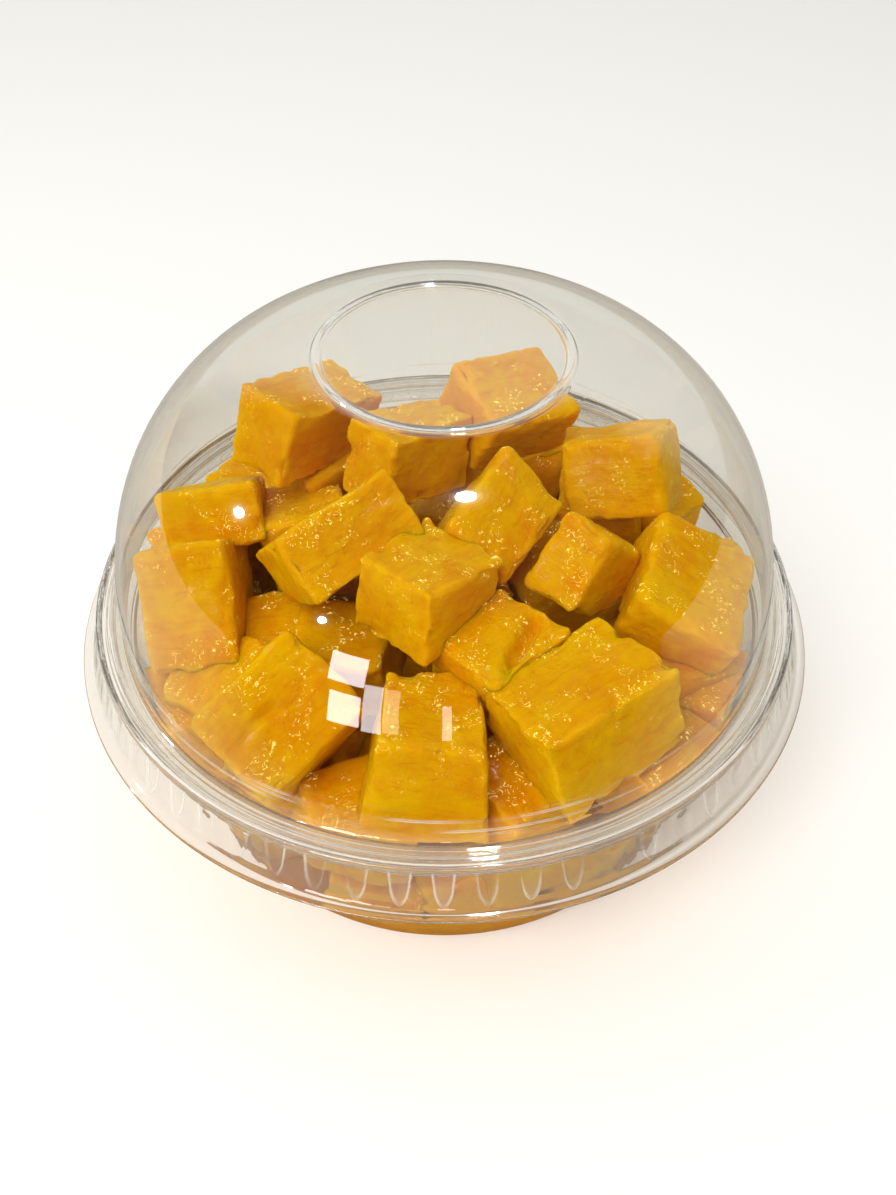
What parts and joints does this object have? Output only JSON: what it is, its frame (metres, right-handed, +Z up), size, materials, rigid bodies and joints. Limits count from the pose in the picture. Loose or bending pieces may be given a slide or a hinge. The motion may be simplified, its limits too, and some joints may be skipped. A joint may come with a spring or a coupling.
{
  "type": "lidded cup of mango cubes",
  "caption": "Clear, low tapered food cup with a clear domed snap lid, filled with a heap of ripe mango cubes that rises into the dome.",
  "frame": {"origin": "centre of the flat ring the cup stands on, at the lowest point", "axes": "+Z up out of the cup towards the lid's flat top; X and Y across, -Y faces the viewer"},
  "size_m": [0.102, 0.102, 0.0727],
  "materials": {
    "clear_plastic": "thin clear moulded plastic, glossy",
    "lid_plastic": "thin clear moulded plastic, glossy, faintly hazy",
    "mango_flesh": "wet cut fruit, deep yellow to orange"
  },
  "bodies": {
    "root": {"cup": "clear_plastic", "dome_lid": "lid_plastic", "mango_cubes": "mango_flesh"}
  },
  "joints": []
}
